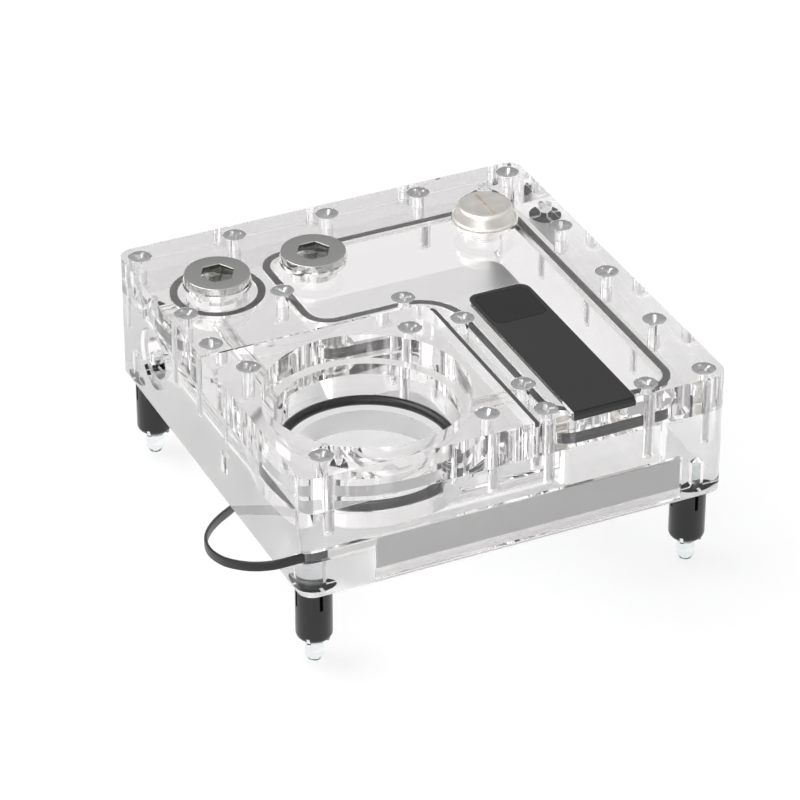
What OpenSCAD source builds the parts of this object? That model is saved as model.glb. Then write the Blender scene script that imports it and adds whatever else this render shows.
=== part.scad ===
// Flat clear reservoir with a pump well, for a liquid cooling loop.
// Base block, L-shaped cover and square pump plate in clear acrylic, screwed
// together over cord seals, on four stand-off feet at a fan's hole spacing.
// Origin: centre of the foot tips' plane. +X right, +Y to the back, +Z up.

/* [Body] */
// Width of the body
body_w = 117; // [112:0.5:130]
// Depth of the body, front to back
body_d = 120.8; // [116:0.2:134]
// Height of the base block
base_h = 24.6; // [22:0.2:32]
// Thickness of the cover and of the pump plate
cover_h = 10.1; // [8.5:0.1:14]
// Gap that the seals keep between the base and what lies on it
joint_gap = 0.1; // [0.05:0.05:0.2]
// Radius of the body's upright corners
corner_r = 4; // [2:0.5:5]

/* [Pump well] */
// Side of the square pump plate
plate_w = 62.8; // [60:0.2:64]
// Gap between the pump plate and the cover
plate_gap = 0.6; // [0.4:0.1:0.8]
// Radius of the pump plate's inner corner
plate_r = 5; // [3:0.5:7]
// Radius of the pump well
well_r = 23.6; // [22.5:0.1:24.2]
// Radius of the wider rim at the well's mouth
rim_r = 26.4; // [25:0.1:27]
// Depth of the wider rim
rim_depth = 7; // [4:0.5:8]
// Height of the pump seat above the base block's underside
seat_z = 16.4; // [15.4:0.2:18]
// Radius of the impeller chamber below the seat
volute_r = 19.4; // [16:0.2:20]
// Depth of the impeller chamber
volute_depth = 6; // [4:0.5:6]
// Radius of the inlet hole in the middle of the impeller chamber
inlet_r = 5.5; // [4:0.5:7]
// Radius of the ducts from the coolant chamber and to the side port
duct_r = 2.6; // [2:0.2:3]
// Thickness of the pump seal
pump_seal_d = 2.6; // [2:0.1:3]

/* [Coolant chamber] */
// Wall right of the chamber
wall_right = 13.3; // [12.5:0.1:15]
// Wall behind the chamber
wall_back = 15.8; // [14:0.1:18]
// Wall in front of the chamber
wall_front = 9.8; // [9.6:0.1:12]
// Distance from the left face to the chamber
wall_left = 36.9; // [36.8:0.1:39]
// Land between the pump plate's right edge and the chamber
land_right = 10.4; // [10.3:0.1:12]
// Land between the pump plate's back edge and the chamber
land_back = 10; // [10:0.1:12]
// Thickness of the chamber's floor
floor_t = 9.6; // [9:0.1:12]
// Radius of the chamber's corners
chamber_r = 4.4; // [3:0.2:6]
// Radius of the chamber's corner round the pump plate
chamber_inner_r = 14; // [12:0.5:16]

/* [Seals] */
// Width of the flat cord seals
seal_w = 1.9; // [1.6:0.1:2]
// Depth of their grooves in the cover
groove_depth = 1.6; // [1.2:0.1:2]
// Distance from the chamber's wall to the middle of its seal
seal_off = 2.2; // [2:0.05:2.3]
// Radius of the seal round the left port
port_seal_r = 11.5; // [11:0.1:12]
// Width of the cord in the joint beside the pump plate
joint_cord_w = 1.1; // [0.9:0.1:1.2]
// Height of that cord
joint_cord_h = 1.4; // [1:0.1:2]

/* [Ports and plugs] */
// Distance of the ports' row from the back face
port_row = 24.2; // [22:0.2:25]
// Distance of the left port from the left face
left_port_in = 18.6; // [18:0.1:19]
// Distance of the middle port from the coolant chamber's left wall
mid_port_in = 9; // [9:0.1:20]
// Distance of the fill port from the right face
fill_port_in = 21.2; // [20.5:0.1:28]
// Radius of the ports' threaded bores in the cover
thread_r = 6.55; // [6:0.05:7]
// Radial clearance of a plug's thread in its bore
thread_clear = 0.05; // [0.03:0.01:0.1]
// Length of a plug's thread
thread_len = 7.4; // [5:0.1:7.6]
// Radius of the spot face round a port
spot_r = 9.0; // [8.8:0.1:9.5]
// Depth of the spot face
spot_depth = 2.4; // [1.8:0.1:3]
// Radius of a plug's collar
collar_r = 8.6; // [8.2:0.1:8.7]
// Height of a port plug's collar above the cover
collar_rise = 2; // [1:0.1:4]
// Hexagon socket across its flats
hex_af = 8; // [6:0.5:9]
// Depth of the hexagon socket
hex_depth = 6; // [5:0.5:8]
// Height of the fill plug's crown above its collar
crown_h = 3.6; // [2:0.1:5]
// Radius of the fill plug's crown at its top
crown_top_r = 7.3; // [6:0.1:7.6]
// Width of the fill plug's coin slot
coin_w = 1.1; // [0.8:0.1:2]
// Length of the coin slot
coin_len = 11.2; // [8:0.2:12]
// Thickness of a plug's seal
plug_seal_d = 1.4; // [1.2:0.1:1.5]
// Radius of the left port's cavity under the cover
port_cavity_r = 8.4; // [7:0.1:8.8]
// Radius of the threaded side port
side_port_r = 5.9; // [5:0.1:6.2]
// Height of the side port above the base block's underside
side_port_z = 15.2; // [15:0.1:15.6]
// Length of the side port's thread
side_port_len = 8.4; // [7:0.1:8.6]
// Radius of the hole from the side port into the cavity
side_neck_r = 5.4; // [4.6:0.1:5.4]
// Radius of the side port's spot face
side_spot_r = 8.6; // [8:0.1:8.8]
// Depth of the side port's spot face
side_spot_depth = 1; // [0.5:0.1:1.5]

/* [Screws] */
// Distance of the screws from the body's edges
screw_in = 4.8; // [4.4:0.1:4.8]
// Radius of a screw's shank
shank_r = 1.5; // [1.2:0.1:1.5]
// Radius of a screw's head
head_r = 3; // [2.6:0.1:3.1]
// Height of the countersunk head
head_h = 1.7; // [1.4:0.1:1.8]
// Length of a screw with its head
screw_len = 20; // [16:0.5:20]
// Spacing of the pump plate's screws
pump_pitch = 44.8; // [44:0.2:46]
// Distance of the inner screws from the pump plate's edges
land_screw = 5.2; // [4.8:0.1:5.3]
// Radial clearance of a shank in the cover
shank_clear = 0.1; // [0.05:0.01:0.1]
// Radial clearance of a thread in the base block
tap_clear = 0.05; // [0.03:0.01:0.1]

/* [Label] */
// Width of the black strip
label_w = 17.2; // [12:0.1:18]
// Thickness of the strip
label_t = 2.4; // [1.5:0.1:3]
// Distance from the coolant chamber's left wall to the strip
label_in = 0.1; // [0:0.1:2]
// Length of the strip, from the front face
label_len = 61.6; // [40:0.1:64]
// Radius of the strip's back corners
label_r = 3; // [1:0.5:4]
// Bevel along the strip's front edge
label_bevel = 1.2; // [0.5:0.1:1.5]
// Side of the square tile at the strip's back end
tile_w = 14.6; // [10:0.1:15]
// Radius of the tile's corners
tile_r = 2.2; // [1:0.1:4]
// Depth to which the tile is let in
tile_t = 0.8; // [0.5:0.1:1.2]

/* [Light strip] */
// Front wall between the light strip's slot and the face
slot_wall = 1.4; // [1.2:0.1:1.6]
// Width of the slot
slot_w = 1.8; // [1.6:0.1:1.9]
// Height of the light strip's board
board_h = 8.9; // [6:0.1:9]
// Thickness of the board
board_t = 0.6; // [0.4:0.1:0.8]
// Length of the board
board_len = 84.2; // [60:0.2:90]
// Distance from the board's right end to the right face
board_in = 12.7; // [11:0.1:15]
// Height of the board's lower edge above the underside
board_z = 3.3; // [2.5:0.1:3.5]
// Number of light emitters
led_count = 12; // [6:1:16]
// Side of one emitter
led_w = 3.5; // [2:0.1:4]
// Thickness of one emitter
led_t = 0.9; // [0.5:0.1:1]

/* [Feet] */
// Spacing of the feet, that of a 120 mm fan's holes
foot_pitch = 105; // [104:0.5:106]
// Height of the body above the foot tips
foot_h = 24.3; // [20:0.1:30]
// Radius of the split sleeves
sleeve_r = 4.7; // [4:0.1:5]
// Length of the split sleeves
sleeve_len = 17.2; // [12:0.1:18]
// Width of the sleeves' slots
sleeve_slot_w = 0.9; // [0.6:0.1:1.2]
// Length of the slots, from the sleeve's top
sleeve_slot_len = 7; // [4:0.5:9]
// Radius of the sleeves' lower edge
sleeve_edge_r = 1.8; // [1:0.1:2.2]
// Radius of the clear pins' shanks
pin_r = 2; // [1.5:0.1:2.2]
// Radius of the pins' noses
nose_r = 2.4; // [2.2:0.1:2.6]
// Depth of a pin in the base block
pin_in = 7.4; // [5:0.1:8]
// Radial clearance of a pin
pin_clear = 0.05; // [0.03:0.01:0.1]
// Thickness of the pins' fins in the sleeve's lower notches
fin_t = 1; // [0.8:0.1:1.2]

/* [Hidden] */
$fn = 64;
eps = 0.01;
over = 1;               // how far a cut runs past the face it opens
fit = 0.1;              // clearance of pieces let into a pocket
point_ratio = 0.6;      // height of a drill point per radius

body_h = base_h + joint_gap + cover_h;
half_w = body_w / 2;
half_d = body_d / 2;
cover_z = base_h + joint_gap;

// pump plate and well
plate_right = plate_w - half_w;
plate_back = plate_w - half_d;
pump_x = plate_w / 2 - half_w;
pump_y = plate_w / 2 - half_d;
rim_z = body_h - rim_depth;
volute_z = seat_z - volute_depth;
feed_z = volute_z - 5;               // middle height of the feed duct
outlet_z = seat_z - volute_depth / 2;
outlet_x = pump_x - volute_r + duct_r + 1.2;

// coolant chamber
chamber_x0 = wall_left - half_w;
chamber_x1 = half_w - wall_right;
chamber_xi = plate_right + land_right;
chamber_y0 = wall_front - half_d;
chamber_y1 = half_d - wall_back;
chamber_yi = plate_back + land_back;
feed_x = chamber_xi + 5.4;           // where the feed duct meets the chamber

// ports
left_port_x = left_port_in - half_w;
mid_port_x = chamber_x0 + mid_port_in;
fill_port_x = half_w - fill_port_in;
port_y = half_d - port_row;
spot_z = body_h - spot_depth;
collar_gap = 0.2;                    // under a seated plug's collar
collar_z = spot_z + collar_gap;
plug_seal_r = (thread_r + collar_r) / 2 - 0.1;
seal_groove_w = plug_seal_d + 0.1;
seal_groove_h = plug_seal_d - collar_gap + 0.1;

// screws
row_x = half_w - screw_in;
row_y = half_d - screw_in;
back_step = row_x / 2;
right_step = 26.4;
near_row = plate_back + land_screw;
near_col = plate_right + land_screw;
far_row = near_row + 16.3;
lower_row = pump_y + 21.1;
upper_row = pump_y - 13.8;
front_col = row_x - 16.4;
cover_points = concat(
    [for (i = [-2:2]) [i * back_step, row_y]],
    [for (i = [0:3]) [row_x, i * right_step - row_y]],
    [[-row_x, far_row], [-row_x, near_row]],
    [[front_col, -row_y], [near_col, -row_y]],
    [[-back_step, far_row], [0, near_row]],
    [[near_col, lower_row], [near_col, upper_row]]);
pump_points = [for (x = [-1, 1], y = [-1, 1])
    [pump_x + x * pump_pitch / 2, pump_y + y * pump_pitch / 2]];
tap_r = shank_r + tap_clear;
tap_z = body_h - screw_len - 0.5;

// label
label_x0 = chamber_xi + label_in;
label_y1 = label_len - half_d;
label_z = body_h - label_t;

// light strip
slot_y = slot_wall - half_d;
board_x1 = half_w - board_in;
board_x0 = board_x1 - board_len;
slot_top = board_z + board_h + 0.3;
led_step = board_len / led_count;
cable_h = 2.6;                       // height of the flat cable
cable_t = 0.9;                       // its thickness
cable_z = 11.2;                      // its height where it leaves the body
cable_slot_h = cable_h + 0.4;
lead_x = 7 - half_w;                 // where the cable turns into the bare lead
socket = [-39.6, 1.6];               // middle of the cable's hole in the underside
socket_r = 2.4;
socket_depth = 5;

// feet
foot_points = [for (x = [-1, 1], y = [-1, 1]) [x * foot_pitch / 2, y * foot_pitch / 2]];
notch_h = 1.7;
nose_top = 1.4;                      // height of the nose's shoulder under the sleeve

// Route of the flat cable's middle line, in the body's own heights
cable_route = [
    [-51.5, -58.1, 11.2], [-54.5, -58.1, 11.2], [-57.6, -58.1, 11.2],
    [-61, -58.0, 11.1], [-65, -57.2, 10.6], [-69, -54.4, 9.6],
    [-72, -50.2, 8.4], [-73.8, -45.0, 7.0], [-74.2, -38.4, 5.6],
    [-72.4, -31.6, 4.1], [-68.6, -25, 2.2], [-63.4, -18.6, 0],
    [-57.4, -12.6, -2.2], [-52.4, -7.8, -3.2], [-48, -4, -3.5],
    [-44.6, -1.4, -3.4], [-41.6, 0.4, -2.6], [-39.9, 1.4, -0.6],
    [-39.7, 1.5, 1.6], [-39.6, 1.6, 4]];

// ---------- helpers ----------

// Puts a piece drawn from the body's underside onto its feet
module on_feet() {
    translate([0, 0, foot_h]) children();
}

// Rectangle from a to b with round corners
module round_rect(a, b, r) {
    translate([a[0] + r, a[1]]) square([b[0] - a[0] - 2 * r, b[1] - a[1]]);
    translate([a[0], a[1] + r]) square([b[0] - a[0], b[1] - a[1] - 2 * r]);
    for (x = [a[0] + r, b[0] - r], y = [a[1] + r, b[1] - r])
        translate([x, y]) circle(r);
}

// The body's outline
module body_outline() {
    round_rect([-half_w, -half_d], [half_w, half_d], corner_r);
}

// The pump plate's corner of the body, grown by the joint's gap.
// Only the corner next to the cover is round.
module plate_zone(grow) {
    r = plate_r + grow;
    x = plate_right + grow;
    y = plate_back + grow;
    translate([-half_w - over, -half_d - over])
        square([x + half_w + over, y - r + half_d + over]);
    translate([-half_w - over, -half_d - over])
        square([x - r + half_w + over, y + half_d + over]);
    translate([x - r, y - r]) circle(r);
}

// The chamber's L-shaped outline, grown outwards
module chamber_outline(grow) {
    x0 = chamber_x0 - grow;
    x1 = chamber_x1 + grow;
    xi = chamber_xi - grow;
    y0 = chamber_y0 - grow;
    y1 = chamber_y1 + grow;
    yi = chamber_yi - grow;
    r = chamber_r + grow;
    ri = chamber_inner_r - grow;
    round_rect([x0, yi], [x1, y1], r);
    round_rect([xi, y0], [x1, y1], r);
    difference() {
        translate([xi - ri, yi - ri]) square(ri + eps);
        translate([xi - ri, yi - ri]) circle(ri);
    }
}

// Flat band that follows the chamber's outline
module chamber_band(w) {
    difference() {
        chamber_outline(seal_off + w / 2);
        chamber_outline(seal_off - w / 2);
    }
}

module ring(r, w) {
    difference() {
        circle(r + w / 2);
        circle(r - w / 2);
    }
}

// Band of the cord beside the pump plate: straight from the front face, and
// a short hook into the plate's round corner
module joint_band(w) {
    r = plate_r + plate_gap / 2;
    cx = plate_right - plate_r;
    cy = plate_back - plate_r;
    translate([cx + r - w / 2, -half_d]) square([w, cy + half_d]);
    intersection() {
        translate([cx, cy]) ring(r, w);
        translate([cx, cy]) polygon([[0, 0], [2 * r, 0], [2 * r, 0.9 * r]]);
    }
}

// Blind hole with a drill point, opening upwards at z = 0
module blind_hole(r, depth) {
    translate([0, 0, -depth]) cylinder(r = r, h = depth + over);
    translate([0, 0, -depth - point_ratio * r])
        cylinder(r1 = 0, r2 = r, h = point_ratio * r + eps);
}

// Clearance hole and countersink of one screw through a plate
module screw_hole() {
    translate([0, 0, cover_z - over]) cylinder(r = shank_r + shank_clear, h = cover_h + 2 * over);
    translate([0, 0, body_h - head_h])
        cylinder(r1 = shank_r + shank_clear, r2 = head_r + shank_clear, h = head_h);
    translate([0, 0, body_h - eps]) cylinder(r = head_r + shank_clear, h = over);
}

// ---------- clear blocks ----------

module base_block() {
    color([0.9, 0.95, 0.96, 0.35]) on_feet() difference() {
        linear_extrude(base_h) body_outline();
        // coolant chamber
        translate([0, 0, floor_t]) linear_extrude(base_h) chamber_outline(0);
        // pump well, impeller chamber and inlet
        translate([pump_x, pump_y, seat_z]) cylinder(r = well_r, h = base_h);
        translate([pump_x, pump_y, volute_z]) cylinder(r = volute_r, h = base_h);
        translate([pump_x, pump_y, feed_z]) cylinder(r = inlet_r, h = base_h);
        // feed duct from the chamber's floor to the inlet
        translate([pump_x, pump_y, feed_z]) rotate([0, 90, 0])
            cylinder(r = duct_r, h = feed_x - pump_x);
        translate([feed_x, pump_y, feed_z]) cylinder(r = duct_r, h = base_h);
        translate([feed_x, pump_y, feed_z]) sphere(duct_r);
        // outlet duct from the impeller chamber to the left port's cavity
        translate([outlet_x, pump_y, outlet_z]) rotate([-90, 0, 0])
            cylinder(r = duct_r, h = port_y - pump_y);
        translate([left_port_x, port_y, floor_t]) cylinder(r = port_cavity_r, h = base_h);
        // side port
        translate([-half_w - over, port_y, side_port_z]) rotate([0, 90, 0])
            cylinder(r = side_port_r, h = over + side_spot_depth + side_port_len);
        translate([-half_w - over, port_y, side_port_z]) rotate([0, 90, 0])
            cylinder(r = side_neck_r, h = left_port_x + half_w + over);
        translate([-half_w - over, port_y, side_port_z]) rotate([0, 90, 0])
            cylinder(r = side_spot_r, h = side_spot_depth + over);
        // screw threads
        for (p = concat(cover_points, pump_points))
            translate([p[0], p[1], base_h]) blind_hole(tap_r, base_h - tap_z);
        // light strip's slot and the cable's way out of it
        translate([board_x0 - 0.5, slot_y, -over])
            cube([board_len + 1, slot_w, slot_top + over]);
        translate([-half_w - over, slot_y, cable_z - cable_slot_h / 2])
            cube([board_x0 + half_w + over, slot_w, cable_slot_h]);
        translate([socket[0], socket[1], -over]) cylinder(r = socket_r, h = socket_depth + over);
        // feet
        for (p = foot_points) translate([p[0], p[1], 0])
            mirror([0, 0, 1]) blind_hole(pin_r + pin_clear, pin_in + 0.4);
    }
}

module cover_plate() {
    color([0.92, 0.96, 0.97, 0.35]) on_feet() difference() {
        translate([0, 0, cover_z]) linear_extrude(cover_h) difference() {
            body_outline();
            plate_zone(plate_gap);
        }
        for (p = cover_points) translate([p[0], p[1], 0]) screw_hole();
        for (x = [left_port_x, mid_port_x, fill_port_x]) translate([x, port_y, 0]) {
            translate([0, 0, cover_z - over]) cylinder(r = thread_r, h = cover_h + 2 * over);
            translate([0, 0, spot_z]) cylinder(r = spot_r, h = cover_h);
        }
        // seal grooves in the underside
        translate([0, 0, cover_z - over])
            linear_extrude(groove_depth + over) chamber_band(seal_w + 2 * fit);
        translate([left_port_x, port_y, cover_z - over])
            linear_extrude(groove_depth + over) ring(port_seal_r, seal_w + 2 * fit);
        // pocket of the label strip, open at the front face
        translate([0, 0, label_z - fit]) linear_extrude(cover_h) label_outline(fit);
        translate([0, 0, body_h - joint_cord_h - fit])
            linear_extrude(cover_h) joint_band(joint_cord_w + 2 * fit);
    }
}

module pump_plate() {
    color([0.92, 0.96, 0.97, 0.35]) on_feet() difference() {
        translate([0, 0, cover_z]) linear_extrude(cover_h) intersection() {
            body_outline();
            plate_zone(0);
        }
        translate([pump_x, pump_y, cover_z - over]) cylinder(r = well_r, h = cover_h + 2 * over);
        translate([pump_x, pump_y, rim_z]) cylinder(r = rim_r, h = cover_h);
        for (p = pump_points) translate([p[0], p[1], 0]) screw_hole();
        translate([0, 0, body_h - joint_cord_h - fit])
            linear_extrude(cover_h) joint_band(joint_cord_w + 2 * fit);
    }
}

// ---------- seals ----------

module chamber_seal() {
    color("dimgray") on_feet() translate([0, 0, base_h])
        linear_extrude(groove_depth + joint_gap - 0.05) chamber_band(seal_w);
}

module port_seal() {
    color("dimgray") on_feet() translate([left_port_x, port_y, base_h])
        linear_extrude(groove_depth + joint_gap - 0.05) ring(port_seal_r, seal_w);
}

module joint_cord() {
    color("black") on_feet() translate([0, 0, body_h - joint_cord_h])
        linear_extrude(joint_cord_h - fit) intersection() {
            joint_band(joint_cord_w);
            translate([-half_w, fit - half_d]) square([body_w, body_d]);
        }
}

// O-ring of section d, its underside at z = 0
module o_ring(r, d) {
    translate([0, 0, d / 2]) rotate_extrude() translate([r, 0]) circle(d = d, $fn = 32);
}

module pump_seal() {
    color("black") on_feet() translate([pump_x, pump_y, seat_z])
        o_ring(well_r - pump_seal_d / 2 - 0.02, pump_seal_d);
}

// ---------- plugs ----------

// Turned blank of a plug: thread, relief and collar with a seal groove
module plug_blank(top) {
    difference() {
        union() {
            translate([0, 0, collar_z - thread_len])
                cylinder(r = thread_r - thread_clear, h = thread_len + eps);
            translate([0, 0, collar_z]) rotate_extrude()
                polygon([[0, 0], [collar_r - 0.3, 0], [collar_r, 0.3],
                    [collar_r, top - collar_z - 0.4], [collar_r - 0.4, top - collar_z],
                    [0, top - collar_z]]);
        }
        translate([0, 0, collar_z - over])
            linear_extrude(seal_groove_h + over) difference() {
                circle(plug_seal_r + seal_groove_w / 2);
                circle(thread_r - thread_clear);
            }
        translate([0, 0, collar_z - thread_len - over]) cylinder(r = thread_r - 2.4, h = over + 1.6);
    }
}

module port_plug(x) {
    top = body_h + collar_rise;
    translate([x, port_y, 0]) difference() {
        plug_blank(top);
        translate([0, 0, top - hex_depth])
            cylinder(r = hex_af / sqrt(3), h = hex_depth + over, $fn = 6);
        translate([0, 0, top - 0.5])
            cylinder(r1 = hex_af / 2, r2 = hex_af / 2 + 1, h = 0.5 + eps);
    }
}

module left_plug() {
    color("silver") on_feet() port_plug(left_port_x);
}

module mid_plug() {
    color("silver") on_feet() port_plug(mid_port_x);
}

module fill_plug() {
    crown_z = body_h + 0.4;
    edge = 0.8;
    crown_base_r = collar_r - 0.5;
    color("gainsboro") on_feet() translate([fill_port_x, port_y, 0]) difference() {
        union() {
            plug_blank(crown_z);
            translate([0, 0, crown_z - eps]) rotate_extrude()
                polygon(concat([[0, 0], [crown_base_r, 0]],
                    [for (a = [0:15:90]) [crown_top_r - edge + edge * cos(a),
                        crown_h - edge + edge * sin(a)]],
                    [[0, crown_h]]));
        }
        translate([-coin_w / 2, -coin_len / 2, crown_z + crown_h - 1.6])
            cube([coin_w, coin_len, 2 * over + 1.6]);
    }
}

module plug_seal(x) {
    translate([x, port_y, spot_z + 0.02])
        o_ring(plug_seal_r, plug_seal_d - 0.04);
}

module left_plug_seal() {
    color("black") on_feet() plug_seal(left_port_x);
}

module mid_plug_seal() {
    color("black") on_feet() plug_seal(mid_port_x);
}

module fill_plug_seal() {
    color("black") on_feet() plug_seal(fill_port_x);
}

// ---------- screws ----------

// Countersunk screw with a cross recess, its head flush with z = 0
module screw() {
    recess_w = 0.7;
    recess_len = 3.4;
    recess_h = 1.2;
    difference() {
        union() {
            translate([0, 0, -screw_len]) cylinder(r = shank_r, h = screw_len - head_h + eps);
            translate([0, 0, -head_h]) cylinder(r1 = shank_r, r2 = head_r, h = head_h);
        }
        for (a = [45, 135]) rotate([0, 0, a])
            translate([-recess_len / 2, -recess_w / 2, -recess_h])
                cube([recess_len, recess_w, recess_h + over]);
    }
}

module cover_screws() {
    color("silver") on_feet() for (p = cover_points) translate([p[0], p[1], body_h]) screw();
}

module pump_plate_screws() {
    color("silver") on_feet() for (p = pump_points) translate([p[0], p[1], body_h]) screw();
}

// ---------- label ----------

module label_outline(grow) {
    x0 = label_x0 - grow;
    x1 = label_x0 + label_w + grow;
    y1 = label_y1 + grow;
    intersection() {
        round_rect([x0, -half_d - 2 * label_r - over], [x1, y1], label_r + grow);
        translate([x0, -half_d - (grow > 0 ? over : 0)])
            square([x1 - x0, y1 + half_d + over]);
    }
}

module tile_outline(grow) {
    in = (label_w - tile_w) / 2;
    round_rect([label_x0 + in - grow, label_y1 - in - tile_w - grow],
        [label_x0 + label_w - in + grow, label_y1 - in + grow], tile_r + grow);
}

module label_strip() {
    color([0.12, 0.12, 0.12]) on_feet() difference() {
        translate([0, 0, label_z]) linear_extrude(label_t) label_outline(0);
        // bevel along the front edge
        translate([label_x0 - over, -half_d, body_h - label_bevel]) rotate([45, 0, 0])
            translate([0, -2 * label_bevel, 0])
                cube([label_w + 2 * over, 2 * label_bevel + label_bevel, 2 * label_bevel]);
        translate([0, 0, body_h - tile_t]) linear_extrude(label_t) tile_outline(fit);
    }
}

module label_tile() {
    color([0.14, 0.14, 0.14]) on_feet() translate([0, 0, body_h - tile_t])
        linear_extrude(tile_t) tile_outline(0);
}

// ---------- light strip ----------

module light_board() {
    color("gray") on_feet() translate([board_x0, slot_y + fit, board_z])
        cube([board_len, board_t, board_h]);
}

module light_emitters() {
    color("ivory") on_feet() for (i = [0:led_count - 1])
        translate([board_x0 + (i + 0.5) * led_step - led_w / 2, slot_y + fit + board_t,
            board_z + (board_h - led_w) / 2])
            cube([led_w, led_t, led_w]);
}

// Clear bar that closes the slot from below
module slot_bar() {
    color([0.9, 0.93, 0.95, 0.5]) on_feet() translate([board_x0 - 0.3, slot_y + fit, 0.1])
        cube([board_len + 0.6, slot_w - 2 * fit, board_z - 0.2]);
}

// Bare flat lead between the cable's end and the board
module light_lead() {
    color("whitesmoke") on_feet()
        translate([lead_x, slot_y + fit, cable_z - 0.9])
            cube([board_x0 - lead_x, 0.3, 1.8]);
}

function mix_pt(a, b, t) = a * (1 - t) + b * t;
function at_route(i) = cable_route[max(0, min(len(cable_route) - 1, i))];
// Smooth curve through the route's points, u counted in points
function on_route(u) = let (i = min(floor(u), len(cable_route) - 2), t = u - i,
        a = at_route(i - 1), b = at_route(i), c = at_route(i + 1), d = at_route(i + 2))
    b + 0.5 * t * ((c - a) + t * (2 * a - 5 * b + 4 * c - d + t * (3 * (b - c) + d - a)));
function unit(v) = v / norm(v);

// Flat cable: an eight-sided section carried along the route
module light_cable() {
    steps = 2;
    count = steps * (len(cable_route) - 1);
    sides = 8;
    pts = [for (k = [0:count])
        let (u = k / steps, here = on_route(u),
            t = unit(on_route(min(u + 0.05, count / steps)) - on_route(max(u - 0.05, 0))),
            side = unit(cross(t, [0, 0, 1])), up = cross(side, t))
        for (j = [0:sides - 1])
            let (a = 360 * (j + 0.5) / sides, s = sign(cos(a)), v = sign(sin(a)))
            here + side * (cable_t / 2) * (abs(cos(a)) > 0.7 ? s : 0.45 * s)
                + up * (cable_h / 2) * (abs(sin(a)) > 0.7 ? v : 0.8 * v)];
    faces = concat(
        [[for (j = [0:sides - 1]) j]],
        [for (k = [0:count - 1], j = [0:sides - 1]) let (n = (j + 1) % sides)
            [k * sides + n, k * sides + j, (k + 1) * sides + j, (k + 1) * sides + n]],
        [[for (j = [sides - 1:-1:0]) count * sides + j]]);
    color([0.1, 0.1, 0.1]) on_feet() polyhedron(pts, faces);
}

// ---------- feet ----------

// Split sleeve: upright slots from the top, notches in the round lower edge
module foot_sleeve(i) {
    e = sleeve_edge_r;
    bore = pin_r + pin_clear;
    translate([foot_points[i][0], foot_points[i][1], foot_h - sleeve_len]) difference() {
        rotate_extrude() polygon(concat(
            [[bore, 0]],
            [for (a = [-90:15:0]) [sleeve_r - e + e * cos(a), e + e * sin(a)]],
            [[sleeve_r, sleeve_len], [bore, sleeve_len]]));
        for (a = [0, 90]) rotate([0, 0, a])
            translate([-sleeve_r - over, -sleeve_slot_w / 2, sleeve_len - sleeve_slot_len])
                cube([2 * (sleeve_r + over), sleeve_slot_w, sleeve_slot_len + over]);
        for (a = [45, 135]) rotate([0, 0, a])
            translate([-sleeve_r - over, -fin_t / 2 - pin_clear, -over])
                cube([2 * (sleeve_r + over), fin_t + 2 * pin_clear, notch_h + over + pin_clear]);
    }
}

// Clear pin: shank up into the block, fins in the sleeve's notches, bullet nose
module foot_pin(i) {
    z1 = foot_h - sleeve_len;
    fin_r = sleeve_r - 0.7;
    translate([foot_points[i][0], foot_points[i][1], 0]) {
        translate([0, 0, z1 - eps]) cylinder(r = pin_r, h = sleeve_len + pin_in + eps);
        rotate_extrude() polygon([[0, 0], [0.9, 0], [1.7, 0.5], [nose_r, 2],
            [nose_r, z1 - nose_top], [nose_r + 0.9, z1 - 0.05], [0, z1 - 0.05]]);
        translate([0, 0, z1 - 0.06]) cylinder(r = pin_r, h = 0.1);
        for (a = [45, 135]) rotate([0, 0, a])
            translate([-fin_r, -fin_t / 2, z1 - 0.3])
                cube([2 * fin_r, fin_t, notch_h + 0.3]);
    }
}

module foot_sleeve_1() { color("black") foot_sleeve(0); }
module foot_sleeve_2() { color("black") foot_sleeve(1); }
module foot_sleeve_3() { color("black") foot_sleeve(2); }
module foot_sleeve_4() { color("black") foot_sleeve(3); }
module foot_pin_1() { color("white") foot_pin(0); }
module foot_pin_2() { color("white") foot_pin(1); }
module foot_pin_3() { color("white") foot_pin(2); }
module foot_pin_4() { color("white") foot_pin(3); }

base_block();
cover_plate();
pump_plate();
chamber_seal();
port_seal();
joint_cord();
pump_seal();
label_strip();
label_tile();
left_plug();
mid_plug();
fill_plug();
left_plug_seal();
mid_plug_seal();
fill_plug_seal();
cover_screws();
pump_plate_screws();
light_board();
light_emitters();
slot_bar();
light_lead();
light_cable();
foot_sleeve_1();
foot_sleeve_2();
foot_sleeve_3();
foot_sleeve_4();
foot_pin_1();
foot_pin_2();
foot_pin_3();
foot_pin_4();
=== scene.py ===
import math

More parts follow.
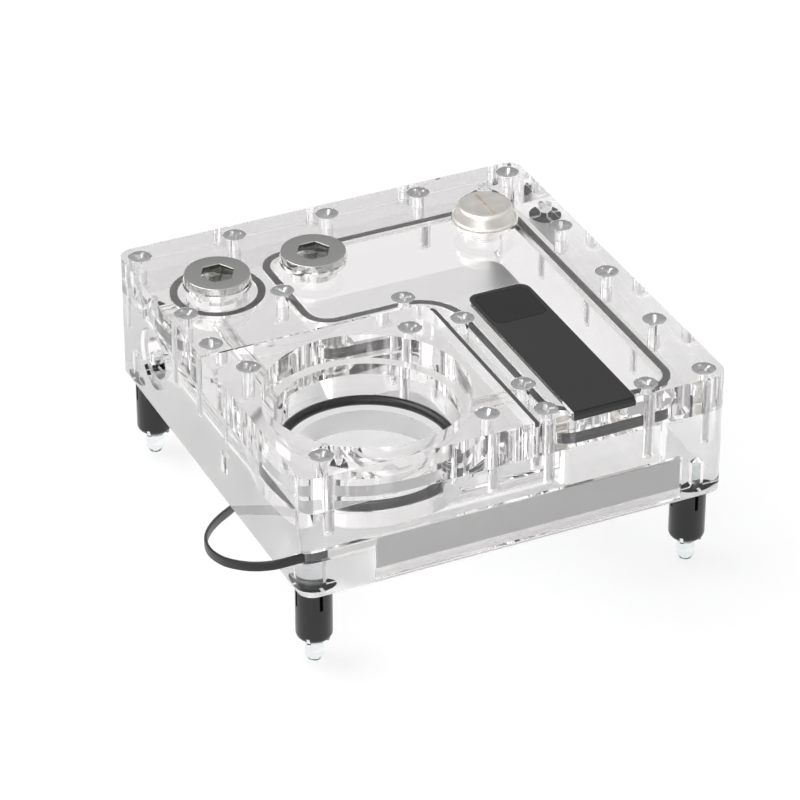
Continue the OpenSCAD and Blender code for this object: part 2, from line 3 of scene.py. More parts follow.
import bmesh
import bpy
import numpy as np
from mathutils import Matrix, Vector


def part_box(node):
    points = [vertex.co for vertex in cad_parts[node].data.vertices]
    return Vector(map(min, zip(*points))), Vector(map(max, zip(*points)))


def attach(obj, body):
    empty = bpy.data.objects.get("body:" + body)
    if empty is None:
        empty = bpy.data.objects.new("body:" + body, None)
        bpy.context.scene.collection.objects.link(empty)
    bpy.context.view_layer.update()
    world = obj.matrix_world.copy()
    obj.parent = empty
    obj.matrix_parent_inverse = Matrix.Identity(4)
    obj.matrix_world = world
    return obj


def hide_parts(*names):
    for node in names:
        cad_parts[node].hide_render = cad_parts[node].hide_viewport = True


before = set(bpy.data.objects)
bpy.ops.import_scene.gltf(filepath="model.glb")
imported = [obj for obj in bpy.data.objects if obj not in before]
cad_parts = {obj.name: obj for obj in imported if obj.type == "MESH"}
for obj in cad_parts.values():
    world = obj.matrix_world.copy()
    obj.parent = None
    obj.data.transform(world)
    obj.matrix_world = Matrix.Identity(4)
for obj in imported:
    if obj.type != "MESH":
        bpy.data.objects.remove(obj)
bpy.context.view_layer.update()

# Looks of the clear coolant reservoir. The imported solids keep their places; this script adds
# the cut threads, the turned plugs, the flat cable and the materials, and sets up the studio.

MM = 0.001                      # sizes of pieces are written in millimetres, the studio's in metres
ROOT = "reservoir"              # the body that everything but the plugs rides on


# ---------------------------------------------------------------- sizes read from the solids

def low(node):
    """Lowest corner of a CAD node, in millimetres."""
    return np.array(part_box(node)[0]) / MM


def high(node):
    """Highest corner of a CAD node, in millimetres."""
    return np.array(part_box(node)[1]) / MM


BODY_LOW = low("base_block")
BODY_HIGH = high("cover_plate")
TOP = BODY_HIGH[2]
UNDERSIDE = BODY_LOW[2]


# ---------------------------------------------------------------- camera

CAMERA_TURN, CAMERA_RISE = -25.03, 32.43        # degrees from the front and above level
CAMERA_LENS = 185.8
CAMERA_SPOT = (-0.38687, -0.81903, 0.60761)


def set_camera():
    """Long lens at the front left, a third of the way up: back is the unit vector from the
    subject to the camera, right is level, and up is their cross product."""
    turn, rise = math.radians(CAMERA_TURN), math.radians(CAMERA_RISE)
    back = np.array([math.sin(turn) * math.cos(rise), -math.cos(turn) * math.cos(rise), math.sin(rise)])
    right = np.array([math.cos(turn), math.sin(turn), 0.0])
    up = np.cross(back, right)
    data = bpy.data.cameras.new("studio_camera")
    data.sensor_width = 36
    data.lens = CAMERA_LENS
    data.clip_end = 20
    camera = bpy.data.objects.new("studio_camera", data)
    bpy.context.collection.objects.link(camera)
    place = Matrix.Identity(4)
    for row in range(3):
        place[row][0], place[row][1], place[row][2] = right[row], up[row], back[row]
    place[0][3], place[1][3], place[2][3] = CAMERA_SPOT
    camera.matrix_world = place
    bpy.context.scene.camera = camera


set_camera()


# ---------------------------------------------------------------- mesh helpers

def make_piece(name, points, faces, body, crease=35.0):
    """Mesh object from an (n, 3) array of points in millimetres and a list of faces. Doubles are
    merged, faces turned outwards, and edges sharper than crease degrees stay sharp."""
    mesh = bpy.data.meshes.new(name)
    mesh.from_pydata((np.asarray(points) * MM).tolist(), [], faces)
    tidy_mesh(mesh)
    mesh.set_sharp_from_angle(angle=math.radians(crease))
    piece = bpy.data.objects.new(name, mesh)
    bpy.context.collection.objects.link(piece)
    if body:
        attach(piece, body)
    return piece


def tidy_mesh(mesh):
    """Merges doubles, drops collapsed faces and turns all faces outwards."""
    work = bmesh.new()
    work.from_mesh(mesh)
    bmesh.ops.remove_doubles(work, verts=work.verts, dist=2e-6)
    bmesh.ops.dissolve_degenerate(work, edges=work.edges, dist=1e-7)
    bmesh.ops.recalc_face_normals(work, faces=work.faces)
    work.to_mesh(mesh)
    work.free()
    mesh.polygons.foreach_set("use_smooth", np.ones(len(mesh.polygons), bool))


def grid_faces(rows, columns, start=0):
    """Quads of a grid of points, row after row, closed round in the column direction."""
    row, column = np.meshgrid(np.arange(rows - 1), np.arange(columns), indexing="ij")
    after = (column + 1) % columns
    quads = np.stack([row * columns + column, row * columns + after,
                      (row + 1) * columns + after, (row + 1) * columns + column], axis=-1)
    return (quads.reshape(-1, 4) + start).tolist()


def skin(radius, height, centre):
    """Closed skin round an upright axis. Point (i, j) lies at the angle 2 pi j / n, at
    radius[i, j] from the axis and at height[i, j]; the first and last rings are closed by fans."""
    rows, columns = radius.shape
    angle = 2 * np.pi * np.arange(columns) / columns
    grid = np.stack([centre[0] + radius * np.cos(angle), centre[1] + radius * np.sin(angle),
                     np.broadcast_to(height, radius.shape)], axis=-1).reshape(-1, 3)
    ends = np.array([[centre[0], centre[1], height[0].mean()], [centre[0], centre[1], height[-1].mean()]])
    first, last = rows * columns, rows * columns + 1
    index = np.arange(columns)
    after = (index + 1) % columns
    fan_low = np.stack([np.full(columns, first), after, index], axis=-1)
    fan_high = np.stack([np.full(columns, last), index, after], axis=-1)
    fan_high[:, 1:] += (rows - 1) * columns
    faces = grid_faces(rows, columns) + fan_low.tolist() + fan_high.tolist()
    return np.vstack([grid, ends]), faces


def soften(profile, edge=0.12, steps=3):
    """Rounds each corner of a profile of (radius, height) points: the corner gives way to a
    quadratic curve between the points that lie edge away from it along its two sides."""
    profile = np.asarray(profile, float)
    out = [profile[:1]]
    for before, corner, after in zip(profile[:-2], profile[1:-1], profile[2:]):
        to_before, to_after = before - corner, after - corner
        reach = min(edge, 0.45 * np.linalg.norm(to_before), 0.45 * np.linalg.norm(to_after))
        start = corner + to_before / np.linalg.norm(to_before) * reach
        end = corner + to_after / np.linalg.norm(to_after) * reach
        t = np.linspace(0, 1, steps + 1)[:, None]
        out.append((1 - t) ** 2 * start + 2 * t * (1 - t) * corner + t ** 2 * end)
    out.append(profile[-1:])
    return np.vstack(out)


def thread_radius(angle, height, root, crest, pitch):
    """Radius of a right-hand thread: a V wave of height / pitch - angle / 2 pi, cut flat at the
    root and at the crest."""
    phase = np.mod(height / pitch - angle / (2 * np.pi), 1.0)
    wave = np.clip(1.5 * np.abs(2 * phase - 1) - 0.25, 0, 1)
    return root + (crest - root) * wave


def threaded_rings(low_end, high_end, root, crest, pitch, columns, per_turn=8):
    """Rings of a threaded stretch from low_end to high_end, run out to the root over half a
    pitch at either end."""
    count = int(round((high_end - low_end) / pitch * per_turn)) + 1
    height = np.linspace(low_end, high_end, count)[:, None] * np.ones((1, columns))
    angle = 2 * np.pi * np.arange(columns)[None, :] / columns
    radius = thread_radius(angle, height, root, crest, pitch)
    fade = np.clip(np.minimum(height - low_end, high_end - height) / (0.4 * pitch), 0, 1)
    return root + (radius - root) * fade, height


def rings_of(profile, columns):
    """Rings of a plain turned stretch from its (radius, height) points."""
    profile = np.asarray(profile, float)
    flat = np.ones((1, columns))
    return profile[:, :1] * flat, profile[:, 1:] * flat


def cut(piece, points, faces):
    """Cuts the solid of these points and faces out of a piece and keeps the result as its mesh."""
    mesh = bpy.data.meshes.new("cutter")
    mesh.from_pydata((np.asarray(points) * MM).tolist(), [], faces)
    tidy_mesh(mesh)
    cutter = bpy.data.objects.new("cutter", mesh)
    bpy.context.collection.objects.link(cutter)
    change = piece.modifiers.new("cut", "BOOLEAN")
    change.operation, change.solver, change.object = "DIFFERENCE", "EXACT", cutter
    graph = bpy.context.evaluated_depsgraph_get()
    result = bpy.data.meshes.new_from_object(piece.evaluated_get(graph))
    piece.modifiers.clear()
    old = piece.data
    piece.data = result
    bpy.data.meshes.remove(old)
    bpy.data.objects.remove(cutter)
    bpy.data.meshes.remove(mesh)
    tidy_mesh(result)
    result.set_sharp_from_angle(angle=math.radians(35))


def prism(outline_low, outline_high, z_low, z_high):
    """Closed solid between two outlines with the same number of (x, y) points."""
    count = len(outline_low)
    points = np.vstack([np.column_stack([outline_low, np.full(count, z_low)]),
                        np.column_stack([outline_high, np.full(count, z_high)])])
    faces = grid_faces(2, count) + [list(range(count))[::-1], list(range(count, 2 * count))]
    return points, faces


# ---------------------------------------------------------------- flat cable

CABLE_ROUTE = [
    (-51.5, -58.1, 11.2), (-54.5, -58.1, 11.2), (-57.6, -58.1, 11.2),
    (-61, -58.0, 11.1), (-65, -57.2, 10.6), (-69, -54.4, 9.6),
    (-72, -50.2, 8.4), (-73.8, -45.0, 7.0), (-74.2, -38.4, 5.6),
    (-72.4, -31.6, 4.1), (-68.6, -25, 2.2), (-63.4, -18.6, 0),
    (-57.4, -12.6, -2.2), (-52.4, -7.8, -3.2), (-48, -4, -3.5),
    (-44.6, -1.4, -3.4), (-41.6, 0.4, -2.6), (-39.9, 1.4, -0.6),
    (-39.7, 1.5, 1.6), (-39.6, 1.6, 4)]
CABLE_HIGH, CABLE_THICK = 2.6, 0.9


def smooth_route(points, steps):
    """Catmull-Rom curve through the points, with steps parts between neighbours."""
    points = np.asarray(points, float)
    padded = np.vstack([points[:1], points, points[-1:]])
    u = np.linspace(0, len(points) - 1, steps * (len(points) - 1) + 1)
    i = np.minimum(u.astype(int), len(points) - 2)
    t = (u - i)[:, None]
    a, b, c, d = (padded[i + k] for k in range(4))
    return b + 0.5 * t * ((c - a) + t * (2 * a - 5 * b + 4 * c - d + t * (3 * (b - c) + d - a)))


def build_cable():
    """Flat black cable: a rounded flat section, a cosine and a sine raised to the power 0.5,
    carried along the route with its broad side upright."""
    line = smooth_route(CABLE_ROUTE, 5) + [0, 0, UNDERSIDE]
    along = np.gradient(line, axis=0)
    along /= np.linalg.norm(along, axis=1, keepdims=True)
    side = np.cross(along, [0, 0, 1.0])
    side /= np.linalg.norm(side, axis=1, keepdims=True)
    up = np.cross(side, along)
    angle = 2 * np.pi * np.arange(20) / 20
    flat = np.sign(np.cos(angle)) * np.abs(np.cos(angle)) ** 0.5 * CABLE_THICK / 2
    tall = np.sign(np.sin(angle)) * np.abs(np.sin(angle)) ** 0.5 * CABLE_HIGH / 2
    grid = line[:, None] + side[:, None] * flat[None, :, None] + up[:, None] * tall[None, :, None]
    count = len(line)
    faces = grid_faces(count, 20) + [list(range(20))[::-1], list(range((count - 1) * 20, count * 20))]
    piece = make_piece("flat_cable", grid.reshape(-1, 3), faces, ROOT, crease=60)
    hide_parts("light_cable")
    return piece


flat_cable = build_cable()


# ---------------------------------------------------------------- plugs

PLUG_COLUMNS = 96
PLUG_PITCH = 1.337              # of the G1/4 thread
PLUG_CREST = 6.56               # 0.01 mm into the hole's wall, so that it shows through the acrylic
PLUG_ROOT = 5.75
HOLLOW_R, HOLLOW_DEEP = 4.15, 1.6               # of the thread's hollow end
GROOVE_IN, GROOVE_OUT, GROOVE_DEEP = 6.5, 8.2, 1.2      # seal groove under the collar
HEX_FLATS, HEX_DEEP = 8.0, 6.0
CROWN_HIGH = 3.6
COIN_WIDE, COIN_LONG, COIN_DEEP = 1.1, 11.2, 1.6


def plug_stem(node):
    """Rings of a plug's hollow end and thread, with the collar's lower edge and its radius."""
    outer = (high(node)[0] - low(node)[0]) / 2
    foot = low(node)[2]
    collar = high(node + "_seal")[2] - GROOVE_DEEP
    lead = soften([(0.01, foot + HOLLOW_DEEP), (HOLLOW_R, foot + HOLLOW_DEEP), (HOLLOW_R, foot), (PLUG_ROOT, foot)])
    radius, height = rings_of(lead, PLUG_COLUMNS)
    cut_radius, cut_height = threaded_rings(foot + 0.05, collar + 0.1, PLUG_ROOT, PLUG_CREST, PLUG_PITCH,
                                            PLUG_COLUMNS)
    return [radius, cut_radius], [height, cut_height], collar, outer


def collar_profile(collar, outer):
    """The thread's end, the seal groove and the collar's lower edge, as (radius, height) points."""
    return [(PLUG_ROOT, collar + 0.1), (GROOVE_IN, collar + 0.1), (GROOVE_IN, collar + GROOVE_DEEP),
            (GROOVE_OUT, collar + GROOVE_DEEP), (GROOVE_OUT, collar), (outer, collar)]


def build_port_plug(node):
    """Collar with a hexagon socket. Each ring's radius runs from the circle to the hexagon
    flats / 2 / cos(angle from the middle of a flat)."""
    radii, heights, collar, outer = plug_stem(node)
    top = high(node)[2]
    ring = soften(collar_profile(collar, outer) + [(outer, top), (4.9, top), (4.85, top)], 0.2, 4)[1:]
    radius, height = rings_of(ring, PLUG_COLUMNS)
    radii.append(radius)
    heights.append(height)
    angle = np.mod(np.arange(PLUG_COLUMNS) * 360 / PLUG_COLUMNS, 60) - 30
    hexagon = HEX_FLATS / 2 / np.cos(np.radians(angle))
    steps = np.array([[0.12, 0.0], [0.03, -0.05], [0, -0.15], [0, -HEX_DEEP / 2], [0, 0.1 - HEX_DEEP]])
    radii.append(hexagon[None, :] + steps[:, :1])
    heights.append(np.broadcast_to(top + steps[:, 1:], (len(steps), PLUG_COLUMNS)))
    radii.append(hexagon[None, :] * 0.9)
    heights.append(np.full((1, PLUG_COLUMNS), top - HEX_DEEP))
    centre = (low(node)[:2] + high(node)[:2]) / 2
    points, faces = skin(np.vstack(radii), np.vstack(heights), centre)
    piece = make_piece(node + "_turned", points, faces, node, crease=32)
    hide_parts(node)
    return piece


def build_fill_plug(node):
    """Turned collar and crown, and a coin slot cut across the crown."""
    radii, heights, collar, outer = plug_stem(node)
    top = high(node)[2]
    edge = top - CROWN_HIGH
    crown = [(outer, edge), (outer - 0.5, edge), (7.45, top - 0.75), (7.0, top - 0.05), (6.4, top), (0.01, top)]
    ring = soften(collar_profile(collar, outer) + crown, 0.25, 5)[1:]
    radius, height = rings_of(ring, PLUG_COLUMNS)
    radii.append(radius)
    heights.append(height)
    centre = (low(node)[:2] + high(node)[:2]) / 2
    points, faces = skin(np.vstack(radii), np.vstack(heights), centre)
    piece = make_piece(node + "_turned", points, faces, node, crease=32)
    slot = np.array([[-1, -1], [1, -1], [1, 1], [-1, 1]]) * [COIN_WIDE / 2, COIN_LONG / 2] + centre
    cut(piece, *prism(slot, slot, top - COIN_DEEP, top + 1))
    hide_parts(node)
    return piece


# ---------------------------------------------------------------- screws

SCREW_COLUMNS = 24
SCREW_CREST = 1.61              # a little into the holes' walls, so that it shows through the acrylic
SCREW_ROOT, SCREW_PITCH = 1.2, 0.5
SCREW_NECK_R = 1.35


def screw_places(node):
    """Axes of the screws in a CAD node: the middles of its groups of points. Points belong to
    one screw when they lie within a little more than a head's width of its first point."""
    count = len(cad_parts[node].data.vertices)
    points = np.empty(count * 3, np.float32)
    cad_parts[node].data.vertices.foreach_get("co", points)
    flat = points.reshape(-1, 3)[:, :2] / MM
    places = []
    while len(flat):
        near = np.hypot(*(flat - flat[0]).T) < 6.5
        group = flat[near]
        places.append((group.min(0) + group.max(0)) / 2)
        flat = flat[np.hypot(*(flat - places[-1]).T) > 3.3]
    return np.array(places)


def screw_shape():
    """One M3 countersunk screw with its head's face at height 0: thread, neck, cone and a cross
    recess whose arms narrow with depth."""
    tip = soften([(0.01, -20.0), (1.0, -20.0), (SCREW_ROOT, -19.7)], 0.1, 2)
    radius, height = rings_of(tip, SCREW_COLUMNS)
    thread, thread_height = threaded_rings(-19.7, -3.4, SCREW_ROOT, SCREW_CREST, SCREW_PITCH, SCREW_COLUMNS,
                                           per_turn=5)
    head = soften([(SCREW_ROOT, -3.4), (SCREW_NECK_R, -3.2), (SCREW_NECK_R, -1.75), (2.95, -0.2), (2.95, 0.0),
                   (0.01, 0.0)], 0.12, 2)[1:]
    head_radius, head_height = rings_of(head, SCREW_COLUMNS)
    points, faces = skin(np.vstack([radius, thread, head_radius]),
                         np.vstack([height, thread_height, head_height]), (0, 0))
    piece = make_piece("screw_pattern", points, faces, None)
    arm, waist = 2.1, 0.55
    tip_half = waist * 0.7
    cross = np.array([(arm, -tip_half), (arm, tip_half), (waist, waist), (tip_half, arm), (-tip_half, arm),
                      (-waist, waist), (-arm, tip_half), (-arm, -tip_half), (-waist, -waist),
                      (-tip_half, -arm), (tip_half, -arm), (waist, -waist)])
    turn = math.radians(45)
    spin = np.array([[math.cos(turn), math.sin(turn)], [-math.sin(turn), math.cos(turn)]])
    cross = cross @ spin
    cut(piece, *prism(cross * 0.35, cross * 1.05, -1.9, 0.12))
    mesh = piece.data
    count = len(mesh.vertices)
    shape = np.empty(count * 3, np.float32)
    mesh.vertices.foreach_get("co", shape)
    faces = [list(face.vertices) for face in mesh.polygons]
    bpy.data.objects.remove(piece)
    return shape.reshape(-1, 3) / MM, faces


def build_screws(name, node, shape, faces):
    """The screw's shape repeated at each place, all in one mesh; each is turned by the golden
    angle from the last, as screws never stop in line."""
    places = screw_places(node)
    turn = np.arange(len(places)) * math.radians(137.5)
    cos, sin = np.cos(turn)[:, None], np.sin(turn)[:, None]
    x = shape[None, :, 0] * cos - shape[None, :, 1] * sin + places[:, :1]
    y = shape[None, :, 0] * sin + shape[None, :, 1] * cos + places[:, 1:]
    z = np.broadcast_to(shape[None, :, 2] + TOP, x.shape)
    points = np.stack([x, y, z], axis=-1).reshape(-1, 3)
    count = len(shape)
    all_faces = [[v + count * k for v in face] for k in range(len(places)) for face in faces]
    piece = make_piece(name, points, all_faces, ROOT)
    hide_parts(node)
    return piece


# ---------------------------------------------------------------- smooth copies of solids

def polished(node, body=ROOT, crease=25.0):
    """Copy of a CAD node with its loose triangles joined, so that its turned and milled walls
    shade as true curves."""
    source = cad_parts[node]
    mesh = source.data.copy()
    mesh.name = node + "_polished"
    work = bmesh.new()
    work.from_mesh(mesh)
    bmesh.ops.remove_doubles(work, verts=work.verts, dist=1e-6)
    work.to_mesh(mesh)
    work.free()
    if mesh.has_custom_normals:
        mesh.attributes.remove(mesh.attributes["custom_normal"])
    mesh.polygons.foreach_set("use_smooth", np.ones(len(mesh.polygons), bool))
    mesh.set_sharp_from_angle(angle=math.radians(crease))
    mesh.materials.clear()
    piece = bpy.data.objects.new(node + "_polished", mesh)
    bpy.context.collection.objects.link(piece)
    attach(piece, body)
    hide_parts(node)
    return piece


# ---------------------------------------------------------------- materials

def linear(code, alpha=1.0):
    """An sRGB hex colour as linear red, green, blue and alpha."""
    part = np.array([int(code[i:i + 2], 16) for i in (1, 3, 5)]) / 255
    value = np.where(part <= 0.04045, part / 12.92, ((part + 0.055) / 1.055) ** 2.4)
    return (*value.tolist(), alpha)


def add(tree, kind, spot, inputs=None, **settings):
    """One node at a grid spot, with its settings, and its inputs set or linked."""
    node = tree.nodes.new(kind)
    node.location = (spot[0] * 220, spot[1] * -180)
    for name, value in settings.items():
        setattr(node, name, value)
    for name, value in (inputs or {}).items():
        socket = node.inputs[name]
        if isinstance(value, bpy.types.NodeSocket):
            tree.links.new(value, socket)
        else:
            socket.default_value = value
    return node


def new_material(name):
    material = bpy.data.materials.new(name)
    material.use_nodes = True
    material.node_tree.nodes.clear()
    return material, material.node_tree


def dress(piece, material):
    piece.data.materials.clear()
    piece.data.materials.append(material)


def clear_plastic(name, tint, index, rough, wave_mm, wave_strength, satin_below=None, satin=0.45):
    """Clear plastic that lets light through to what lies under it: for shadow rays it is a
    plain tinted pane, since a polished block throws hardly any shade. Faces that lie below the
    height satin_below, in millimetres, are left satin by the saw."""
    material, tree = new_material(name)
    place = add(tree, "ShaderNodeTexCoord", (0, 0))
    wave = add(tree, "ShaderNodeTexNoise", (1, 0), {"Vector": place.outputs["Object"], "Scale": 1000 / wave_mm,
                                                    "Detail": 2.0, "Roughness": 0.4})
    bump = add(tree, "ShaderNodeBump", (2, 0), {"Height": wave.outputs["Fac"], "Strength": wave_strength,
                                                "Distance": 0.0001})
    spread = add(tree, "ShaderNodeMapRange", (2, 1), {"Value": wave.outputs["Fac"], "To Min": rough * 0.5,
                                                      "To Max": rough * 1.5})
    roughness = spread.outputs["Result"]
    if satin_below is not None:
        split = add(tree, "ShaderNodeSeparateXYZ", (1, 3), {"Vector": place.outputs["Object"]})
        under = add(tree, "ShaderNodeMath", (2, 3), {0: split.outputs["Z"], 1: satin_below * MM},
                    operation="LESS_THAN")
        extra = add(tree, "ShaderNodeMath", (3, 3), {0: under.outputs[0], 1: satin}, operation="MULTIPLY")
        both = add(tree, "ShaderNodeMath", (4, 3), {0: roughness, 1: extra.outputs[0]}, operation="ADD")
        roughness = both.outputs[0]
    glass = add(tree, "ShaderNodeBsdfPrincipled", (3, 0), {
        "Base Color": linear(tint), "Roughness": roughness, "IOR": index,
        "Transmission Weight": 1.0, "Normal": bump.outputs["Normal"]})
    pane = add(tree, "ShaderNodeBsdfTransparent", (3, 2), {"Color": linear("#fafbfb")})
    path = add(tree, "ShaderNodeLightPath", (3, -2))
    mix = add(tree, "ShaderNodeMixShader", (4, 0), {0: path.outputs["Is Shadow Ray"], 1: glass.outputs["BSDF"],
                                                    2: pane.outputs["BSDF"]})
    add(tree, "ShaderNodeOutputMaterial", (5, 0), {"Surface": mix.outputs["Shader"]})
    return material


def solid_plastic(name, colour, darker, rough, grain_mm, grain_depth_mm):
    """Opaque moulded or extruded plastic or rubber: a faint mottling of its colour and a fine
    grain in its surface."""
    material, tree = new_material(name)
    place = add(tree, "ShaderNodeTexCoord", (0, 0))
    mottle = add(tree, "ShaderNodeTexNoise", (1, 0), {"Vector": place.outputs["Object"], "Scale": 1000 / 9.0,
                                                      "Detail": 3.0})
    colours = add(tree, "ShaderNodeMix", (2, 0), {"Factor": mottle.outputs["Fac"], 6: linear(darker),
                                                  7: linear(colour)}, data_type="RGBA")
    grain = add(tree, "ShaderNodeTexNoise", (1, 1), {"Vector": place.outputs["Object"], "Scale": 1000 / grain_mm,
                                                     "Detail": 2.0})
    bump = add(tree, "ShaderNodeBump", (2, 1), {"Height": grain.outputs["Fac"], "Strength": 1.0,
                                                "Distance": grain_depth_mm * MM})
    spread = add(tree, "ShaderNodeMapRange", (2, 2), {"Value": grain.outputs["Fac"], "To Min": rough * 0.85,
                                                      "To Max": rough * 1.15})
    shader = add(tree, "ShaderNodeBsdfPrincipled", (3, 0), {
        "Base Color": colours.outputs[2], "Roughness": spread.outputs["Result"], "IOR": 1.5,
        "Normal": bump.outputs["Normal"]})
    add(tree, "ShaderNodeOutputMaterial", (4, 0), {"Surface": shader.outputs["BSDF"]})
    return material


def turned_metal(name, colour, rough, centre, ring_mm, ring_depth_mm):
    """Turned and plated metal: the tool's feed leaves rings about the axis. The rings of a real
    part lie some 0.05 mm apart; they are drawn wider so that they show."""
    material, tree = new_material(name)
    place = add(tree, "ShaderNodeTexCoord", (0, 0))
    shift = add(tree, "ShaderNodeMapping", (1, 0), {"Vector": place.outputs["Object"],
                                                    "Location": (-centre[0] * MM, -centre[1] * MM, 0)})
    rings = add(tree, "ShaderNodeTexWave", (2, 0), {"Vector": shift.outputs["Vector"],
                                                    "Scale": 1000 / ring_mm / 6.2832, "Distortion": 0.4,
                                                    "Detail": 1.0}, wave_type="RINGS", rings_direction="Z")
    patch = add(tree, "ShaderNodeTexNoise", (2, 1), {"Vector": place.outputs["Object"], "Scale": 1000 / 3.0,
                                                     "Detail": 3.0})
    bump = add(tree, "ShaderNodeBump", (3, 0), {"Height": rings.outputs["Fac"], "Strength": 1.0,
                                                "Distance": ring_depth_mm * MM})
    spread = add(tree, "ShaderNodeMapRange", (3, 1), {"Value": patch.outputs["Fac"], "To Min": rough * 0.7,
                                                      "To Max": rough * 1.3})
    shader = add(tree, "ShaderNodeBsdfPrincipled", (4, 0), {
        "Base Color": linear(colour), "Metallic": 1.0, "Roughness": spread.outputs["Result"],
        "Normal": bump.outputs["Normal"]})
    add(tree, "ShaderNodeOutputMaterial", (5, 0), {"Surface": shader.outputs["BSDF"]})
    return material


def build_all():
    acrylic = clear_plastic("cast_acrylic_polished", "#faf9f9", 1.49, 0.004, 22, 0.02)
    sawn_acrylic = clear_plastic("cast_acrylic_satin_underside", "#faf9f9", 1.49, 0.004, 22, 0.02, UNDERSIDE + 0.05)
    snap_plastic = clear_plastic("clear_nylon_moulded", "#eef2f3", 1.5, 0.06, 2, 0.1)
    seal_rubber = solid_plastic("seal_cord_rubber", "#4a4a4a", "#3c3c3c", 0.6, 0.25, 0.004)
    ring_rubber = solid_plastic("o_ring_rubber", "#121212", "#0c0c0c", 0.35, 0.3, 0.002)
    label_plastic = solid_plastic("label_strip_satin_plastic", "#242424", "#202020", 0.42, 0.12, 0.002)
    tile_plastic = solid_plastic("label_tile_satin_plastic", "#141414", "#111111", 0.22, 0.12, 0.001)
    board = solid_plastic("light_board_laminate", "#b6b6b6", "#b2b2b2", 0.5, 0.3, 0.002)
    emitter = solid_plastic("light_emitter_resin", "#f1efe0", "#e9e6d2", 0.3, 0.4, 0.001)
    lead = solid_plastic("flat_lead_film", "#dcdcda", "#d2d2d0", 0.4, 0.3, 0.001)
    jacket = solid_plastic("cable_jacket_vinyl", "#161616", "#101010", 0.38, 0.2, 0.002)
    sleeve = solid_plastic("foot_nylon_black", "#141414", "#0e0e0e", 0.25, 0.2, 0.0015)
    steel = turned_metal("screw_steel_bright", "#e2e2e3", 0.2, (0, 0), 0.6, 0.0004)

    for node in ("base_block", "cover_plate", "pump_plate", "slot_bar"):
        piece = polished(node)
        dress(piece, sawn_acrylic if node == "base_block" else acrylic)
    for node, material, slot in (
            ("chamber_seal", seal_rubber, "seal_rubber"), ("port_seal", seal_rubber, "seal_rubber"),
            ("joint_cord", seal_rubber, "seal_rubber"), ("pump_seal", ring_rubber, "pump_seal_rubber"),
            ("label_strip", label_plastic, "label_black"), ("label_tile", tile_plastic, "label_black"),
            ("light_board", board, "board_grey"), ("light_emitters", emitter, "emitter"),
            ("light_lead", lead, "lead_white")):
        piece = polished(node)
        dress(piece, material)
    for number in range(1, 5):
        foot = polished(f"foot_sleeve_{number}")
        dress(foot, sleeve)
        pin = polished(f"foot_pin_{number}")
        dress(pin, snap_plastic)
    for node in ("left_plug_seal", "mid_plug_seal", "fill_plug_seal"):
        piece = polished(node, node)
        dress(piece, ring_rubber)

    dress(flat_cable, jacket)
    for node, maker, rough in (("left_plug", build_port_plug, 0.12), ("mid_plug", build_port_plug, 0.12),
                               ("fill_plug", build_fill_plug, 0.42)):
        piece = maker(node)
        centre = (low(node) + high(node)) / 2
        colour = "#f2efe9" if node == "fill_plug" else "#cfcfcd"
        dress(piece, turned_metal(node + "_nickel_turned", colour, rough, centre, 0.45, 0.0006))
    shape, faces = screw_shape()
    for name, node in (("cover_screws_threaded", "cover_screws"), ("pump_screws_threaded", "pump_plate_screws")):
        dress(build_screws(name, node, shape, faces), steel)


build_all()


# ---------------------------------------------------------------- studio

FLOOR_GLOW = 0.7                # share of its own light in what is seen of the floor
LAMP_SIDE = 0.9
LAMPS = (("soft_lamp", (-0.55, 0.35, 0.95), 9.0), ("front_lamp", (-0.8, -0.9, 0.55), 5.0))


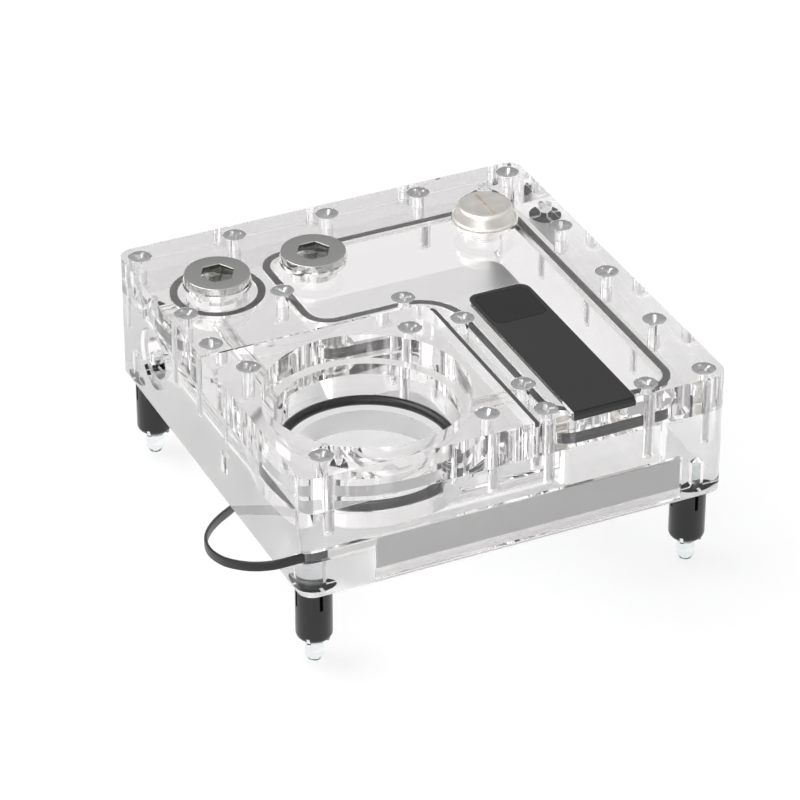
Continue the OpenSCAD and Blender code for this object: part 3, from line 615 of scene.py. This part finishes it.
def studio():
    """Pale floor, a bright room that darkens to the back, and two large soft lamps: one above
    on the left and a weaker one at the front left."""
    scene = bpy.context.scene
    scene.view_settings.view_transform = "Standard"
    scene.cycles.max_bounces = 40
    scene.cycles.transmission_bounces = 40
    scene.cycles.glossy_bounces = 24
    scene.cycles.transparent_max_bounces = 64

    world = bpy.data.worlds.new("studio_room")
    world.use_nodes = True
    tree = world.node_tree
    tree.nodes.clear()
    place = add(tree, "ShaderNodeTexCoord", (0, 0))
    split = add(tree, "ShaderNodeSeparateXYZ", (1, 0), {"Vector": place.outputs["Generated"]})
    ramp = add(tree, "ShaderNodeValToRGB", (2, 0), {"Fac": split.outputs["Z"]})
    ramp.color_ramp.elements[0].color = linear("#c4c4c4")
    ramp.color_ramp.elements[0].position = 0.0
    ramp.color_ramp.elements[1].color = linear("#ffffff")
    ramp.color_ramp.elements[1].position = 0.75
    back = add(tree, "ShaderNodeMapRange", (2, 2), {"Value": split.outputs["Y"], "From Min": 0.2, "From Max": 0.75,
                                                    "To Min": 0.9, "To Max": 0.5}, interpolation_type="SMOOTHSTEP")
    room = add(tree, "ShaderNodeBackground", (4, 0), {"Color": ramp.outputs["Color"],
                                                      "Strength": back.outputs["Result"]})
    white = add(tree, "ShaderNodeBackground", (4, 1), {"Color": (1, 1, 1, 1), "Strength": 1.0})
    path = add(tree, "ShaderNodeLightPath", (3, -2))
    mix = add(tree, "ShaderNodeMixShader", (5, 0), {0: path.outputs["Is Camera Ray"], 1: room.outputs["Background"],
                                                    2: white.outputs["Background"]})
    add(tree, "ShaderNodeOutputWorld", (6, 0), {"Surface": mix.outputs["Shader"]})
    scene.world = world

    span = 3000.0
    floor = make_piece("studio_floor", [(-span, -span, 0), (span, -span, 0), (span, span, 0), (-span, span, 0)],
                       [[0, 1, 2, 3]], None)
    floor.location.z = -0.0002
    material, tree = new_material("studio_floor_paper")
    paper = add(tree, "ShaderNodeBsdfDiffuse", (1, 0), {"Color": linear("#f2f2f2")})
    glow = add(tree, "ShaderNodeEmission", (1, 1), {"Color": (1, 1, 1, 1), "Strength": 1.0})
    path = add(tree, "ShaderNodeLightPath", (0, -1))
    seen = add(tree, "ShaderNodeMath", (1, -1), {0: path.outputs["Is Camera Ray"],
                                                 1: path.outputs["Is Transmission Ray"]}, operation="MAXIMUM")
    seen = add(tree, "ShaderNodeMath", (2, -1), {0: seen.outputs[0], 1: path.outputs["Is Glossy Ray"]},
               operation="MAXIMUM")
    share = add(tree, "ShaderNodeMath", (3, -1), {0: seen.outputs[0], 1: FLOOR_GLOW}, operation="MULTIPLY")
    mix = add(tree, "ShaderNodeMixShader", (4, 0), {0: share.outputs[0], 1: paper.outputs["BSDF"],
                                                    2: glow.outputs["Emission"]})
    add(tree, "ShaderNodeOutputMaterial", (5, 0), {"Surface": mix.outputs["Shader"]})
    dress(floor, material)

    for name, spot, energy in LAMPS:
        data = bpy.data.lights.new(name, "AREA")
        data.shape, data.size, data.size_y, data.energy = "RECTANGLE", LAMP_SIDE, LAMP_SIDE, energy
        lamp = bpy.data.objects.new(name, data)
        bpy.context.collection.objects.link(lamp)
        aim = np.array(spot)
        direction = aim / np.linalg.norm(aim)
        side = np.cross([0, 1.0, 0], direction)
        side /= np.linalg.norm(side)
        rise = np.cross(direction, side)
        place = Matrix.Identity(4)
        for row in range(3):
            place[row][0], place[row][1], place[row][2] = side[row], rise[row], direction[row]
            place[row][3] = aim[row]
        lamp.matrix_world = place


studio()
